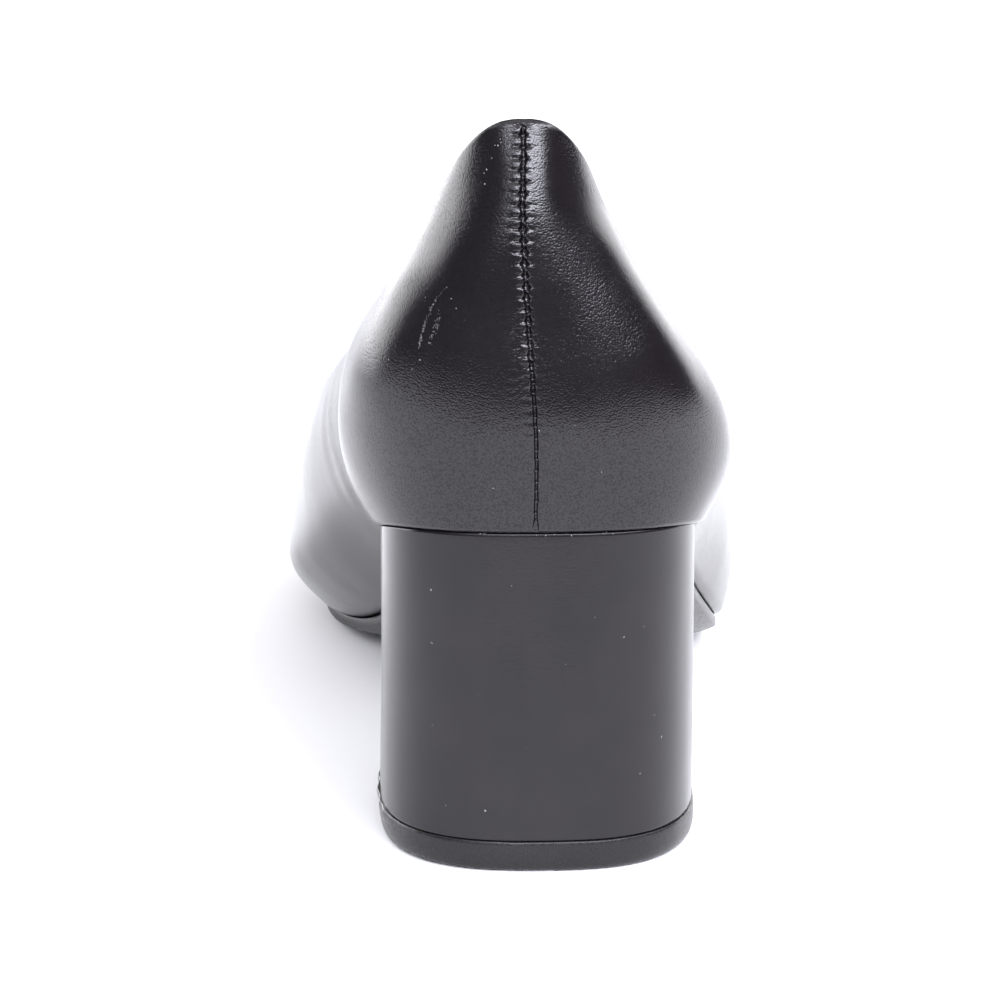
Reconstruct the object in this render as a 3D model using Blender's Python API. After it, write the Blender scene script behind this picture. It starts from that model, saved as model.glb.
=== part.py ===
"""Block-heel pump for the right foot, made of an upper, an insole, an outsole, a heel block and a top piece.

The shoe points along +Y, its outer (lateral) side is +X, and it stands on z = 0.
Sizes below are in millimetres, measured from the back of the heel cup (y = 0) and the floor (z = 0).
The last is described by five lines that run right round the foot, from the featherline at the
sole to the topline edge, and a section spline is drawn through them at every rib.
"""

import math

import bpy
import numpy as np

# ------------------------------------------------------------------ driving sizes, mm
SHOE_LENGTH = 243.0        # back of the heel cup to the toe tip
HEEL_STATION = 36.0        # y of the widest part of the heel cup
THROAT_START = 128.0       # y where the topline leaves the quarters and turns in
THROAT_Y = 168.0           # y of the deepest point of the throat
THROAT_SQUARENESS = 2.6    # 2 would be an ellipse
TOE_TIP_X = -3.5           # the toe tip lies to the inner side of the middle line
WALL = 1.7                 # upper leather with its lining
MARGIN = 5.0               # lasting margin turned in under the insole
FEATHER_ROUND = 2.6        # rounding of the upper where it turns under
GAP = 0.3                  # fit between pieces

INSOLE_THICK = 1.5
INSOLE_INSET = 3.4         # from the featherline to the insole's edge
SOLE_MID = 4.2             # outsole thickness along its middle
SOLE_EDGE = 2.0            # outsole thickness at its trimmed edge
SOLE_EDGE_POWER = 7        # how close to its edge the outsole starts to thin
SOLE_INSET = 1.2           # from the corner of the featherline to the outsole's edge
TOP_PIECE_THICK = 5.0
TOP_PIECE_BEVEL = 0.8
BREAST_ROUND = 3.0         # corner radius between heel sides and heel breast

PLAN_CENTRE = (-0.07, 121.4) # middle of the shoe's box, which becomes the origin

# ------------------------------------------------------------------ tables
LEVELS = ("feather", "bulge", "middle", "shoulder", "edge")
LEVEL_SHARE = (0.0, 0.20, 0.45, 0.75, 1.0)   # height share between bottom line and edge line

# Side view: bottom of the upper (featherline), its edge line and the ridge of the instep.
BOTTOM_COLUMNS = ("y", "z")
BOTTOM_LINE = (
    (-4, 55.9), (4, 55.6), (12, 54.7), (22, 52.8), (36, 49.4), (52, 44.6), (70, 37.6),
    (90, 28.2), (110, 18.6), (126, 11.7), (140, 7.2), (151, 5.0), (161, 4.1), (171, 3.9),
    (184, 4.6), (200, 6.1), (220, 8.7), (243, 12.0),
)
EDGE_COLUMNS = ("y", "z")
EDGE_LINE = (
    (-4, 133.0), (8, 121.3), (15, 114.1), (22, 106.8), (36, 96.2), (50, 88.4), (66, 80.2),
    (86, 70.4), (108, 60.0), (128, 51.6), (146, 45.2), (164, 39.6), (182, 34.8), (200, 30.4),
    (214, 27.2), (227, 24.4), (236, 22.6), (243, 21.4),
)
RIDGE_COLUMNS = ("y", "x", "z")
RIDGE_LINE = (
    (128, 0.0, 67.0), (146, -0.1, 55.4), (164, -0.3, 46.8), (182, -0.6, 40.2),
    (200, -1.2, 34.6), (214, -1.9, 30.4), (227, -2.8, 26.2), (236, -3.5, 22.6),
)

# Plan: distance of each line from the middle, a row for each section along the foot.
SECTION_COLUMNS = ("y", "lat_feather", "lat_bulge", "lat_middle", "lat_shoulder", "lat_edge",
                   "med_feather", "med_bulge", "med_middle", "med_shoulder", "med_edge")
SECTIONS = (
    (36, 28.0, 32.4, 30.3, 21.1, 11.3, 25.8, 30.4, 31.6, 26.9, 16.4),
    (60, 28.2, 30.8, 30.4, 25.6, 19.4, 21.6, 27.4, 29.4, 27.2, 22.6),
    (84, 29.8, 32.0, 32.0, 29.4, 25.4, 18.4, 26.8, 31.0, 31.2, 28.6),
    (108, 34.0, 36.2, 36.4, 34.4, 30.6, 21.6, 31.9, 35.7, 35.8, 33.4),
    (128, 37.8, 39.8, 39.6, 37.4, 33.4, 25.8, 36.8, 39.2, 38.3, 34.9),
    (146, 39.4, 40.9, 40.6, 37.4, 31.4, 30.6, 39.5, 40.9, 38.0, 31.4),
    (164, 39.0, 40.4, 39.4, 34.8, 25.6, 34.8, 40.1, 40.6, 36.4, 25.8),
    (182, 36.0, 37.6, 36.2, 30.6, 19.6, 35.2, 38.4, 38.0, 33.2, 20.8),
    (200, 30.0, 32.0, 30.6, 25.0, 14.6, 31.6, 34.4, 33.4, 28.4, 16.8),
    (214, 23.8, 25.6, 24.4, 19.4, 10.0, 27.0, 29.2, 28.2, 23.6, 13.6),
    (227, 16.0, 17.6, 16.6, 13.0, 5.4, 20.8, 22.6, 21.8, 18.0, 10.4),
)
# Back seam and toe tip, a row for each line. squareness 2 is an ellipse in plan.
END_COLUMNS = ("back_y", "seam_x", "squareness", "tip_y")
ENDS = (
    (3.6, -0.1, 2.75, 241.6),
    (0.1, -0.1, 2.35, 243.0),
    (0.7, -1.2, 2.12, 242.6),
    (3.8, -2.2, 1.62, 240.8),
    (8.0, -2.4, 2.33, 236.0),
)
# Heel block, a row for each level from the seat (0) down to the top piece (1).
HEEL_COLUMNS = ("level", "half_width", "middle_x", "back_y", "wide_y", "breast_y")
HEEL = (
    (0.00, 25.6, 0.80, 4.2, 31.0, 50.0),
    (0.30, 25.6, 0.80, 4.0, 31.5, 49.2),
    (0.60, 25.6, 0.80, 3.5, 32.5, 48.6),
    (0.85, 25.7, 0.70, 3.0, 33.5, 48.2),
    (1.00, 25.75, 0.62, 2.7, 34.0, 48.0),
)
HEEL_SQUARENESS = 2.65
TOP_PIECE = {"half_width": 26.0, "middle_x": 0.7, "back_y": 2.5, "wide_y": 34.0, "breast_y": 48.2}

# Facets
HEEL_STEPS, SIDE_STEPS, THROAT_STEPS, TOE_STEPS, TIP_STEPS = 9, 9, 6, 6, 5
ROUND_STEPS, WALL_STEPS = 4, 12
ACROSS_STEPS = 10
RING_BACK_STEPS, RING_SIDE_STEPS, RING_CORNER_STEPS, RING_BREAST_STEPS = 12, 2, 4, 3
RING_LEVELS = 9

# ------------------------------------------------------------------ splines and tables


def column(table, names, name):
    """One named column of a table."""
    return np.array([row[names.index(name)] for row in table], float)


def knot_slopes(knots, values, closed=False):
    """Slopes at the knots of the smooth cubic through values, with free ends or closed on itself."""
    n = len(knots)
    h = np.diff(knots)
    m = np.zeros((n, n))
    b = np.zeros_like(values)
    for i in range(1, n - 1):
        m[i, i - 1], m[i, i], m[i, i + 1] = 1 / h[i - 1], 2 / h[i - 1] + 2 / h[i], 1 / h[i]
        b[i] = 3 * ((values[i] - values[i - 1]) / h[i - 1] ** 2 + (values[i + 1] - values[i]) / h[i] ** 2)
    if closed:
        m[0, n - 2], m[0, 0], m[0, 1] = 1 / h[-1], 2 / h[-1] + 2 / h[0], 1 / h[0]
        b[0] = 3 * ((values[0] - values[-2]) / h[-1] ** 2 + (values[1] - values[0]) / h[0] ** 2)
        m[-1, 0], m[-1, -1] = 1, -1
    else:
        m[0, 0], m[0, 1], b[0] = 2, 1, 3 * (values[1] - values[0]) / h[0]
        m[-1, -2], m[-1, -1], b[-1] = 1, 2, 3 * (values[-1] - values[-2]) / h[-1]
    return np.linalg.solve(m, b)


def spline_at(knots, values, slopes, at):
    """The cubic and its slope at each place in at."""
    at = np.atleast_1d(np.asarray(at, float))
    i = np.clip(np.searchsorted(knots, at, side="right") - 1, 0, len(knots) - 2)
    h = (knots[i + 1] - knots[i])[:, None]
    t = (at - knots[i])[:, None] / h
    p0, p1, m0, m1 = values[i], values[i + 1], slopes[i] * h, slopes[i + 1] * h
    place = p0 * (2 * t**3 - 3 * t**2 + 1) + m0 * (t**3 - 2 * t**2 + t) + p1 * (3 * t**2 - 2 * t**3) + m1 * (t**3 - t**2)
    slope = (p0 * (6 * t**2 - 6 * t) + m0 * (3 * t**2 - 4 * t + 1) + p1 * (6 * t - 6 * t**2) + m1 * (3 * t**2 - 2 * t)) / h
    return place, slope


def line_through(table, names, name):
    """A function of y that runs smoothly through one column of a side-view table."""
    y = column(table, names, "y")
    z = column(table, names, name)[:, None]
    slopes = knot_slopes(y, z)
    return lambda at: spline_at(y, z, slopes, np.clip(at, y[0], y[-1]))[0][:, 0]


bottom_z = line_through(BOTTOM_LINE, BOTTOM_COLUMNS, "z")
edge_z = line_through(EDGE_LINE, EDGE_COLUMNS, "z")
ridge_x = line_through(RIDGE_LINE, RIDGE_COLUMNS, "x")
ridge_z = line_through(RIDGE_LINE, RIDGE_COLUMNS, "z")

# ------------------------------------------------------------------ the last's five lines


def heel_points(side, angle):
    """The five lines on one side of the heel cup, at an angle round from the back seam."""
    points = []
    for level, share, (back_y, seam_x, power, _) in zip(LEVELS, LEVEL_SHARE, ENDS):
        width = side * column(SECTIONS, SECTION_COLUMNS, ("lat_" if side > 0 else "med_") + level)[0]
        x = seam_x + (width - seam_x) * math.sin(angle) ** (2 / power)
        y = HEEL_STATION - (HEEL_STATION - back_y) * math.cos(angle) ** (2 / power)
        points.append((x, y, share))
    return points


def section_points(side, row):
    name = "lat_" if side > 0 else "med_"
    return [(side * row[SECTION_COLUMNS.index(name + level)], row[0], share) for level, share in zip(LEVELS, LEVEL_SHARE)]


def with_height(points):
    """Turns height shares into heights between the bottom line and the edge line."""
    p = np.array(points, float)
    low, high = bottom_z(p[:, 1]), edge_z(p[:, 1])
    p[:, 2] = low + p[:, 2] * (high - low)
    return p


def last_lines():
    """Knots and nodes of the five lines: from the back seam round the lateral side to the toe tip and back."""
    angles = [math.radians(a) for a in (22.5, 45.0, 67.5)]
    back = [(end[1], end[0], share) for end, share in zip(ENDS, LEVEL_SHARE)]
    tip = [(TOE_TIP_X, end[3], share) for end, share in zip(ENDS, LEVEL_SHARE)]
    lateral = [heel_points(1, a) for a in angles] + [section_points(1, row) for row in SECTIONS]
    medial = [heel_points(-1, a) for a in angles] + [section_points(-1, row) for row in SECTIONS]
    nodes = np.array([with_height(n) for n in [back] + lateral + [tip] + medial[::-1] + [back]])
    plan = nodes[:, LEVELS.index("bulge"), :2]
    steps = np.hypot(*np.diff(plan, axis=0).T)
    steps = (steps + steps[::-1]) / 2
    return np.concatenate([[0], np.cumsum(steps)]), nodes.reshape(len(nodes), -1)


KNOTS, NODES = last_lines()
SLOPES = knot_slopes(KNOTS, NODES, closed=True)
ROUND = KNOTS[-1]
SECTION_KNOT = 4                       # knot of the first section after the heel angles
TIP_KNOT = len(KNOTS) // 2


def lines_at(u):
    """The five line points, and their directions along the lines, at u."""
    place, slope = spline_at(KNOTS, NODES, SLOPES, u)
    return place.reshape(-1, len(LEVELS), 3), slope.reshape(-1, len(LEVELS), 3)


_fine = np.linspace(0, KNOTS[TIP_KNOT], 4000)
_fine_edge_y = lines_at(_fine)[0][:, -1, 1]
_fine_feather_y = lines_at(_fine)[0][:, 0, 1]


def u_of_edge(y):
    return np.interp(y, _fine_edge_y, _fine)


def u_of_feather(y):
    return np.interp(y, _fine_feather_y, _fine)


def rib_places():
    """u of every rib on the lateral side, back seam and toe tip included."""
    heel = np.linspace(0, KNOTS[SECTION_KNOT], HEEL_STEPS + 1)
    side = u_of_edge(np.linspace(HEEL_STATION, THROAT_START, SIDE_STEPS + 1))
    turn = np.sin(np.linspace(0, math.pi / 2, THROAT_STEPS + 1))
    throat = u_of_edge(THROAT_START + (THROAT_Y - THROAT_START) * turn)
    toe = u_of_edge(np.linspace(THROAT_Y, SECTIONS[-1][0], TOE_STEPS + 1))
    tip = np.linspace(KNOTS[TIP_KNOT - 1], KNOTS[TIP_KNOT], TIP_STEPS + 1)
    return np.concatenate([heel[:-1], side[:-1], throat[:-1], toe[:-1], tip])


def throat_share(y):
    """How far the topline has gone from the edge line to the ridge: a quarter of a rounded oval in y."""
    t = float(np.clip((y - THROAT_START) / (THROAT_Y - THROAT_START), 0, 1))
    return 1 - max(0.0, 1 - t**THROAT_SQUARENESS) ** (1 / THROAT_SQUARENESS)


def inward(slope):
    """Plan direction towards the inside of the shoe, from a line's direction."""
    n = np.array([-slope[1], slope[0], 0.0])
    return n / np.linalg.norm(n)


def by_length(points, count, start=0.0):
    """count + 1 points spaced evenly along a polyline, from a distance start on."""
    run = np.concatenate([[0], np.cumsum(np.linalg.norm(np.diff(points, axis=0), axis=1))])
    at = np.linspace(start, run[-1], count + 1)
    return np.stack([np.interp(at, run, points[:, k]) for k in range(3)], axis=1)


def rib(u):
    """One rib of the upper's outside: lasting margin, rounded featherline, wall, and vamp up to the ridge."""
    side = 1 if u <= KNOTS[TIP_KNOT] else -1
    place, slope = lines_at(u)
    place, slope = place[0], slope[0]
    knots = np.array(LEVEL_SHARE)
    slopes = knot_slopes(knots, place)
    wall, along = spline_at(knots, place, slopes, np.linspace(0, 1, 80))
    edge, edge_y = wall[-1], wall[-1, 1]
    share = throat_share(edge_y)
    if share > 0:
        top = np.array([ridge_x(edge_y)[0], edge_y, ridge_z(edge_y)[0]])
        reach = np.linalg.norm(top - edge)
        first = edge + along[-1] / np.linalg.norm(along[-1]) * reach * 0.36
        second = top + np.array([side * reach * 0.36, 0, 0])
        t = np.linspace(0, share, 60)[1:, None]
        cap = edge * (1 - t) ** 3 + 3 * first * t * (1 - t) ** 2 + 3 * second * t**2 * (1 - t) + top * t**3
        wall = np.concatenate([wall, cap])
    foot = wall[0]
    into = inward(slope[0])
    turned = foot + into * np.array([[MARGIN], [FEATHER_ROUND]])
    turned[:, 2] = bottom_z(turned[:, 1])
    upright = by_length(wall, WALL_STEPS, FEATHER_ROUND)
    t = np.linspace(0, 1, ROUND_STEPS + 1)[1:-1, None]
    rounded = turned[1] * (1 - t) ** 2 + 2 * foot * t * (1 - t) + upright[0] * t**2
    return np.concatenate([turned, rounded, upright]), share >= 1


# ------------------------------------------------------------------ meshes


def new_object(name, points, faces, colour, roughness):
    """A closed mesh in metres with its own material, shaded smooth but for its sharp edges."""
    mesh = bpy.data.meshes.new(name)
    moved = (np.asarray(points, float) - np.array([*PLAN_CENTRE, 0.0])) / 1000
    mesh.from_pydata(moved.tolist(), [], faces)
    mesh.validate()
    mesh.shade_smooth()
    mesh.set_sharp_from_angle(angle=math.radians(50))
    obj = bpy.data.objects.new(name, mesh)
    material = bpy.data.materials.new(name)
    material.use_nodes = True
    shader = material.node_tree.nodes["Principled BSDF"]
    shader.inputs["Base Color"].default_value = (*colour, 1)
    shader.inputs["Roughness"].default_value = roughness
    shader.inputs["Metallic"].default_value = 0
    mesh.materials.append(material)
    bpy.context.scene.collection.objects.link(obj)
    return obj


def point_normals(points, faces):
    """Area-weighted normals of a welded mesh of quads."""
    normals = np.zeros_like(points)
    for face in faces:
        a, b, c, d = points[list(face)]
        n = np.cross(c - a, d - b)
        for i in face:
            normals[i] += n
    return normals / np.linalg.norm(normals, axis=1, keepdims=True)


def build_upper():
    """The hollow upper: an outside through all the ribs, and an inside one wall further in."""
    lateral = rib_places()
    around = np.concatenate([lateral, (ROUND - lateral[1:-1])[::-1]])
    ribs = [rib(u) for u in around]
    count, rows = len(ribs), len(ribs[0][0])
    points, index = [], np.zeros((count, rows), int)
    for i, (line, closed) in enumerate(ribs):
        for j in range(rows):
            twin = count - i
            if closed and j == rows - 1 and i > count // 2:
                index[i, j] = index[twin, j]      # both halves of the vamp meet on the ridge
                continue
            index[i, j] = len(points)
            points.append(line[j])
    points = np.array(points)
    outside = []
    for i in range(count):
        n = (i + 1) % count
        for j in range(rows - 1):
            outside.append((index[i, j], index[n, j], index[n, j + 1], index[i, j + 1]))
    normals = point_normals(points, outside)
    total = len(points)
    faces = [tuple(int(v) for v in f) for f in outside]
    faces += [tuple(int(v) + total for v in f[::-1]) for f in outside]
    for i in range(count):
        n = (i + 1) % count
        a, b = index[i, 0], index[n, 0]
        faces.append((int(b), int(a), int(a) + total, int(b) + total))
        if not (ribs[i][1] and ribs[n][1]):
            a, b = index[i, -1], index[n, -1]
            faces.append((int(a), int(b), int(b) + total, int(a) + total))
    return new_object("upper", np.concatenate([points, points - normals * WALL]), faces, (0.012, 0.012, 0.014), 0.38)


def outline(us, offset):
    """Featherline points moved out by offset in plan, for each u."""
    place, slope = lines_at(us)
    return np.array([p[0] - inward(s[0]) * offset for p, s in zip(place, slope)])


def build_sheet(name, lateral, medial, under, over, colour, roughness):
    """A closed sheet between a lateral and a medial outline, with its lower and upper face given by functions."""
    shares = (1 - np.cos(np.linspace(0, math.pi, ACROSS_STEPS + 1))) / 2
    points, faces = [], []
    where = {}

    def vertex(k, c, up):
        spot = lateral[k] + (medial[k] - lateral[k]) * shares[c]
        key = (k, 0 if np.allclose(lateral[k], medial[k]) else c, up)
        if key not in where:
            height = (over if up else under)(spot, shares[c])
            where[key] = len(points)
            points.append((spot[0], spot[1], height))
        return where[key]

    def face(*corners):
        kept = [c for i, c in enumerate(corners) if c != corners[i - 1]]
        if len(kept) > 2:
            faces.append(tuple(kept))

    last = len(lateral) - 1
    for k in range(last):
        for c in range(ACROSS_STEPS):
            face(vertex(k, c, 1), vertex(k + 1, c, 1), vertex(k + 1, c + 1, 1), vertex(k, c + 1, 1))
            face(vertex(k, c + 1, 0), vertex(k + 1, c + 1, 0), vertex(k + 1, c, 0), vertex(k, c, 0))
        face(vertex(k, 0, 0), vertex(k + 1, 0, 0), vertex(k + 1, 0, 1), vertex(k, 0, 1))
        face(vertex(k, ACROSS_STEPS, 1), vertex(k + 1, ACROSS_STEPS, 1), vertex(k + 1, ACROSS_STEPS, 0), vertex(k, ACROSS_STEPS, 0))
    if not np.allclose(lateral[0], medial[0]):
        for c in range(ACROSS_STEPS):
            face(vertex(0, c, 0), vertex(0, c, 1), vertex(0, c + 1, 1), vertex(0, c + 1, 0))
    return new_object(name, points, faces, colour, roughness)


def build_insole():
    """Insole board on the lasting margin, all along the foot."""
    us = rib_places()
    lateral = outline(us, -INSOLE_INSET)
    medial = outline(ROUND - us, -INSOLE_INSET)
    low = lambda spot, share: bottom_z(spot[1])[0] + WALL + GAP
    return build_sheet("insole", lateral, medial, low, lambda spot, share: low(spot, share) + INSOLE_THICK, (0.45, 0.36, 0.27), 0.6)


def build_outsole():
    """Outsole from the heel breast to the toe, thinner at its trimmed edge, flat where it stands."""
    start = HEEL[0][HEEL_COLUMNS.index("breast_y")] + GAP
    us = rib_places()
    us = np.concatenate([[u_of_feather(start)], us[us > u_of_feather(start) + 2]])
    lateral, medial = outline(us, -SOLE_INSET), outline(ROUND - us, -SOLE_INSET)
    lateral[0, 1] = medial[0, 1] = start
    over = lambda spot, share: bottom_z(spot[1])[0] - GAP

    def under(spot, share):
        thick = SOLE_EDGE + (SOLE_MID - SOLE_EDGE) * (1 - abs(2 * share - 1) ** SOLE_EDGE_POWER)
        return max(0.0, over(spot, share) - thick)

    return build_sheet("outsole", lateral, medial, under, over, (0.03, 0.029, 0.028), 0.55)


def ring(half_width, middle_x, back_y, wide_y, breast_y):
    """Plan of the heel from the back, round the lateral side, to the middle of the breast: one half, then the other."""
    half = []
    for t in np.linspace(0, math.pi / 2, RING_BACK_STEPS + 1):
        half.append((half_width * math.sin(t) ** (2 / HEEL_SQUARENESS), wide_y - (wide_y - back_y) * math.cos(t) ** (2 / HEEL_SQUARENESS)))
    corner_y = breast_y - BREAST_ROUND
    half += [(half_width, wide_y + (corner_y - wide_y) * k / RING_SIDE_STEPS) for k in range(1, RING_SIDE_STEPS + 1)]
    for t in np.linspace(0, math.pi / 2, RING_CORNER_STEPS + 1)[1:]:
        half.append((half_width - BREAST_ROUND + BREAST_ROUND * math.cos(t), corner_y + BREAST_ROUND * math.sin(t)))
    inner = half_width - BREAST_ROUND
    half += [(inner * (1 - k / RING_BREAST_STEPS), breast_y) for k in range(1, RING_BREAST_STEPS + 1)]
    lateral = [(middle_x + x, y) for x, y in half]
    medial = [(middle_x - x, y) for x, y in half[1:-1]]
    return np.array(lateral + medial[::-1])


def build_stack(name, rings, colour, roughness):
    """A solid from rings of points, top ring first, with its two ends filled by strips across."""
    count = len(rings[0])
    points = np.concatenate(rings)
    faces = []
    for k in range(len(rings) - 1):
        for i in range(count):
            n = (i + 1) % count
            faces.append((k * count + n, k * count + i, (k + 1) * count + i, (k + 1) * count + n))
    half = count // 2
    for base, turn in ((0, 1), ((len(rings) - 1) * count, -1)):
        for i in range(half):
            a, b, c, d = i, i + 1, (count - i - 1) % count, (count - i) % count
            strip = [base + v for v in dict.fromkeys((a, b, c, d))]
            faces.append(tuple(strip[::turn]))
    return new_object(name, points, faces, colour, roughness)


def build_heel():
    """Block heel: its top follows the seat of the upper, its foot is level on the top piece."""
    level = column(HEEL, HEEL_COLUMNS, "level")
    values = np.array([row[1:] for row in HEEL], float)
    slopes = knot_slopes(level, values)
    foot = TOP_PIECE_THICK + GAP
    rings = []
    for at in np.linspace(0, 1, RING_LEVELS):
        plan = ring(*spline_at(level, values, slopes, at)[0][0])
        height = (bottom_z(plan[:, 1]) - GAP) * (1 - at) + foot * at
        rings.append(np.column_stack([plan, height]))
    return build_stack("heel_block", rings, (0.014, 0.0135, 0.0135), 0.3)


def build_top_piece():
    """Top piece: a flat lift under the heel block, a little proud of it, with its lower edge eased."""
    rings = []
    for height, pull in ((TOP_PIECE_THICK, 0.0), (TOP_PIECE_BEVEL, 0.0), (0.0, TOP_PIECE_BEVEL)):
        sizes = dict(TOP_PIECE)
        sizes["half_width"] -= pull
        sizes["back_y"] += pull
        sizes["breast_y"] -= pull
        plan = ring(**sizes)
        rings.append(np.column_stack([plan, np.full(len(plan), height)]))
    return build_stack("heel_top_piece", rings, (0.018, 0.018, 0.019), 0.5)


for old in list(bpy.data.objects):
    bpy.data.objects.remove(old)
build_upper()
build_insole()
build_outsole()
build_heel()
build_top_piece()
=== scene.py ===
"""Looks of the block-heel pump: leather upper with its back seam, lining, sock, outsole, heel block and top piece.

Sizes are in millimetres in the shoe's own frame, as in the part: y from the back of the heel cup, z from the floor.
"""

import math

import bpy
import numpy as np
from mathutils import Matrix, Vector, noise


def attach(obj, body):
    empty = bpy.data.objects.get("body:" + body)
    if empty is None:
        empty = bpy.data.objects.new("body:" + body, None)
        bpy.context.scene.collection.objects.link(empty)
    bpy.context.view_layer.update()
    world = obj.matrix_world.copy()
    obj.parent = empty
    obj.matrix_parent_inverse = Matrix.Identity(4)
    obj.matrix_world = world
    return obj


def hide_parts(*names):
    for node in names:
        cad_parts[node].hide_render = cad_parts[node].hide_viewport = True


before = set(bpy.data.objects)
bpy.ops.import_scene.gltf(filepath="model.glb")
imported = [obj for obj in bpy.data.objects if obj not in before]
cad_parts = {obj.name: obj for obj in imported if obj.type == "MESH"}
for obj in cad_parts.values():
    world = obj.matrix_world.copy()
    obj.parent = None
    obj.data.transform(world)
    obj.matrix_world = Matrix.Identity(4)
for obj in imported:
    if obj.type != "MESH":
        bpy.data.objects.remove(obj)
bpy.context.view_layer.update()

# ------------------------------------------------------------------ sizes of the last, as in the part
HEEL_STATION = 36.0
THROAT_START = 128.0
THROAT_Y = 168.0
THROAT_SQUARENESS = 2.6
TOE_TIP_X = -3.5
WALL = 1.7
GAP = 0.3
SOLE_MID, SOLE_EDGE, SOLE_EDGE_POWER, SOLE_INSET = 4.2, 2.0, 7, 1.2
TOP_PIECE_THICK = 5.0
BREAST_ROUND = 3.0
HEEL_SQUARENESS = 2.65
PLAN_CENTRE = (-0.07, 121.4)

LEVELS = ("feather", "bulge", "middle", "shoulder", "edge")
LEVEL_SHARE = (0.0, 0.20, 0.45, 0.75, 1.0)
BOTTOM_COLUMNS = ("y", "z")
BOTTOM_LINE = (
    (-4, 55.9), (4, 55.6), (12, 54.7), (22, 52.8), (36, 49.4), (52, 44.6), (70, 37.6),
    (90, 28.2), (110, 18.6), (126, 11.7), (140, 7.2), (151, 5.0), (161, 4.1), (171, 3.9),
    (184, 4.6), (200, 6.1), (220, 8.7), (243, 12.0),
)
EDGE_COLUMNS = ("y", "z")
EDGE_LINE = (
    (-4, 133.0), (8, 121.3), (15, 114.1), (22, 106.8), (36, 96.2), (50, 88.4), (66, 80.2),
    (86, 70.4), (108, 60.0), (128, 51.6), (146, 45.2), (164, 39.6), (182, 34.8), (200, 30.4),
    (214, 27.2), (227, 24.4), (236, 22.6), (243, 21.4),
)
RIDGE_COLUMNS = ("y", "x", "z")
RIDGE_LINE = (
    (128, 0.0, 67.0), (146, -0.1, 55.4), (164, -0.3, 46.8), (182, -0.6, 40.2),
    (200, -1.2, 34.6), (214, -1.9, 30.4), (227, -2.8, 26.2), (236, -3.5, 22.6),
)
SECTION_COLUMNS = ("y", "lat_feather", "lat_bulge", "lat_middle", "lat_shoulder", "lat_edge",
                   "med_feather", "med_bulge", "med_middle", "med_shoulder", "med_edge")
SECTIONS = (
    (36, 28.0, 32.4, 30.3, 21.1, 11.3, 25.8, 30.4, 31.6, 26.9, 16.4),
    (60, 28.2, 30.8, 30.4, 25.6, 19.4, 21.6, 27.4, 29.4, 27.2, 22.6),
    (84, 29.8, 32.0, 32.0, 29.4, 25.4, 18.4, 26.8, 31.0, 31.2, 28.6),
    (108, 34.0, 36.2, 36.4, 34.4, 30.6, 21.6, 31.9, 35.7, 35.8, 33.4),
    (128, 37.8, 39.8, 39.6, 37.4, 33.4, 25.8, 36.8, 39.2, 38.3, 34.9),
    (146, 39.4, 40.9, 40.6, 37.4, 31.4, 30.6, 39.5, 40.9, 38.0, 31.4),
    (164, 39.0, 40.4, 39.4, 34.8, 25.6, 34.8, 40.1, 40.6, 36.4, 25.8),
    (182, 36.0, 37.6, 36.2, 30.6, 19.6, 35.2, 38.4, 38.0, 33.2, 20.8),
    (200, 30.0, 32.0, 30.6, 25.0, 14.6, 31.6, 34.4, 33.4, 28.4, 16.8),
    (214, 23.8, 25.6, 24.4, 19.4, 10.0, 27.0, 29.2, 28.2, 23.6, 13.6),
    (227, 16.0, 17.6, 16.6, 13.0, 5.4, 20.8, 22.6, 21.8, 18.0, 10.4),
)
ENDS = (   # back_y, seam_x, squareness, tip_y of each line
    (3.6, -0.1, 2.75, 241.6),
    (0.1, -0.1, 2.35, 243.0),
    (0.7, -1.2, 2.12, 242.6),
    (3.8, -2.2, 1.62, 240.8),
    (8.0, -2.4, 2.33, 236.0),
)
HEEL_COLUMNS = ("level", "half_width", "middle_x", "back_y", "wide_y", "breast_y")
HEEL = (
    (0.00, 25.6, 0.80, 4.2, 31.0, 50.0),
    (0.30, 25.6, 0.80, 4.0, 31.5, 49.2),
    (0.60, 25.6, 0.80, 3.5, 32.5, 48.6),
    (0.85, 25.7, 0.70, 3.0, 33.5, 48.2),
    (1.00, 25.75, 0.62, 2.7, 34.0, 48.0),
)
TOP_PIECE = {"half_width": 26.0, "middle_x": 0.7, "back_y": 2.5, "wide_y": 34.0, "breast_y": 48.2}

# ------------------------------------------------------------------ looks, mm
MARGIN = 5.0               # lasting margin under the insole
FEATHER_ROUND = (1.0, 1.6) # rounding of the leather where it turns under, at the heel and at the forefoot
LEATHER = 0.95             # outer leather alone
FOLD_REACH = 3.0           # leather folded in over the topline
EDGE_ROLL = 0.60           # the rolled edge stands this far past the ends of the ribs
FOLD_PROUD = 0.12          # folded edge above the lining
SEAM_ZONE = (4.5, 9.0)     # finest and fine mesh to each side of the back seam
STITCH_PITCH = 1.78
ROW_STEPS = 52             # rows of the coarse part of the upper, doubled at the heel and twice more towards the seam
HEEL_ZONE_Y = 74.0         # the heel's finer mesh ends here

# ------------------------------------------------------------------ splines


def column(table, names, name):
    return np.array([row[names.index(name)] for row in table], float)


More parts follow.
